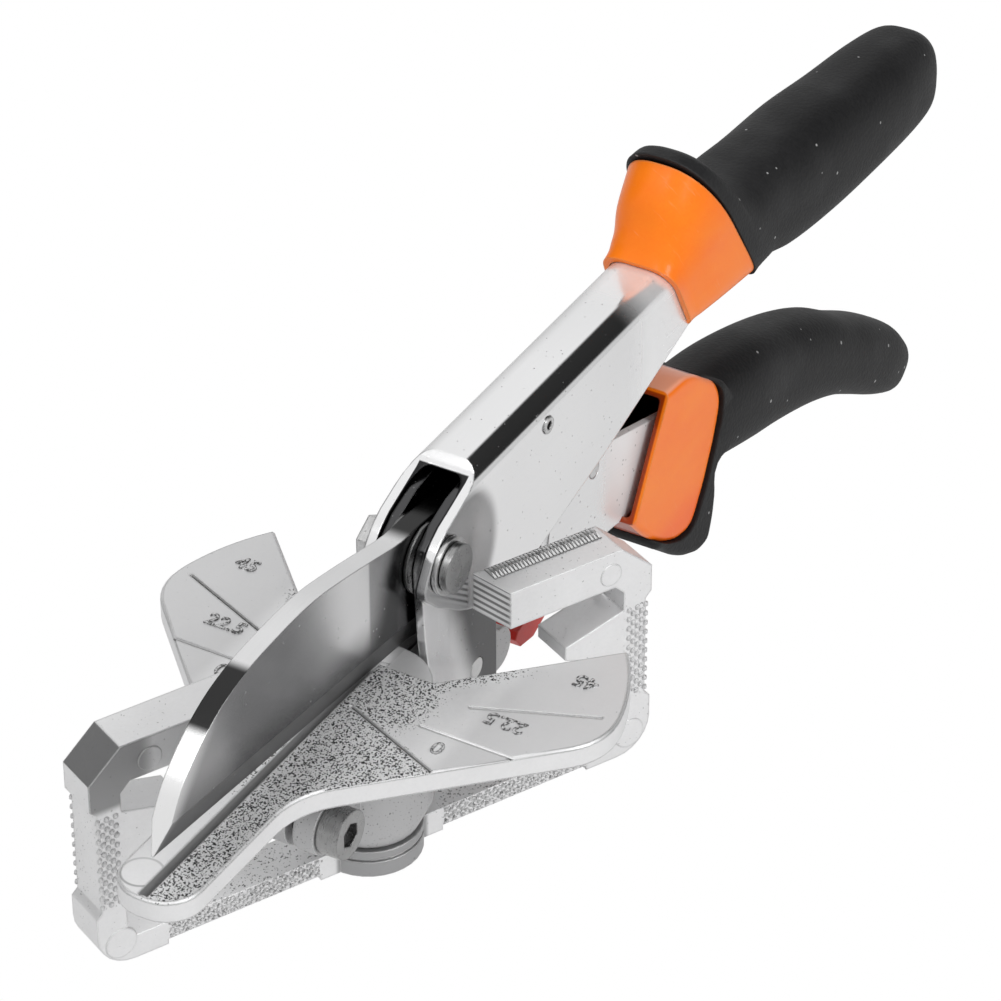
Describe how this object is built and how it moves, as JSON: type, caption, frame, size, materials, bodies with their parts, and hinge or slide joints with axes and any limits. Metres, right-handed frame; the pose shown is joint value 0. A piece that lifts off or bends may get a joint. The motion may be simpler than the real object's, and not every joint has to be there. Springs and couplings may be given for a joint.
{
  "type": "mitre shears",
  "caption": "Hand shears with a straight blade that closes on a slotted anvil, a dial of cutting angles, a swivelling fence, crossed lever handles and a safety latch.",
  "frame": {"origin": "the fence's swivel axis at the flat underside of its hub", "axes": "+Z along the swivel axis, square to the anvil's flat top and pointing up from it; +X from the anvil's nose to the handles; +Y to the far side, the side of the pivot's nut"},
  "size_m": [0.2607, 0.0832, 0.0983],
  "materials": {
    "cast_metal": "bare casting with a fine grain",
    "steel": "brushed",
    "dark_steel": "darkened",
    "plated": "bright plated sheet",
    "blade_steel": "ground",
    "orange_plastic": "moulded",
    "black_rubber": "soft moulded grip",
    "red_plastic": "moulded"
  },
  "bodies": {
    "upper_tool": {"anvil": "cast_metal", "anvil_pin_front": "plated", "anvil_pin_rear": "plated", "channel_pin": "plated", "cheek_near": "steel", "cheek_far": "steel", "clamp_nut": "plated", "pivot_bolt": "dark_steel", "pivot_nut": "plated", "pivot_washer": "plated", "return_spring": "steel", "upper_channel": "plated", "upper_collar": "orange_plastic", "upper_grip": "black_rubber"},
    "fence": {"fence_frame": "cast_metal", "swivel_pin": "steel"},
    "lower_tool": {"blade": "blade_steel", "blade_washer_near": "plated", "blade_washer_far": "plated", "latch_pin": "plated", "lower_channel": "plated", "lower_grip": "black_rubber", "lower_guard": "orange_plastic", "spring_seat": "plated", "tang_rivet_front": "plated", "tang_rivet_rear": "plated"},
    "latch": {"safety_latch": "red_plastic"},
    "screw": {"clamp_screw": "dark_steel"}
  },
  "joints": [
    {"name": "jaw", "type": "hinge", "parent": "upper_tool", "child": "lower_tool", "pos_m": [0.015, 0, 0.049], "axis": [0, 1, 0], "range_deg": [-4.2, 25], "deforming": ["return_spring"]},
    {"name": "fence_swivel", "type": "hinge", "parent": "upper_tool", "child": "fence", "pos_m": [0, 0, 0], "axis": [0, 0, 1], "range_deg": [-127.4, 0]},
    {"name": "latch_hinge", "type": "hinge", "parent": "lower_tool", "child": "latch", "pos_m": [0.06, 0, 0.0225], "axis": [0, 1, 0], "range_deg": [0, 15]},
    {"name": "clamp_turn", "type": "hinge", "parent": "upper_tool", "child": "screw", "pos_m": [-0.0193, 0, 0.0184], "axis": [0, 1, 0], "continuous": true}
  ]
}
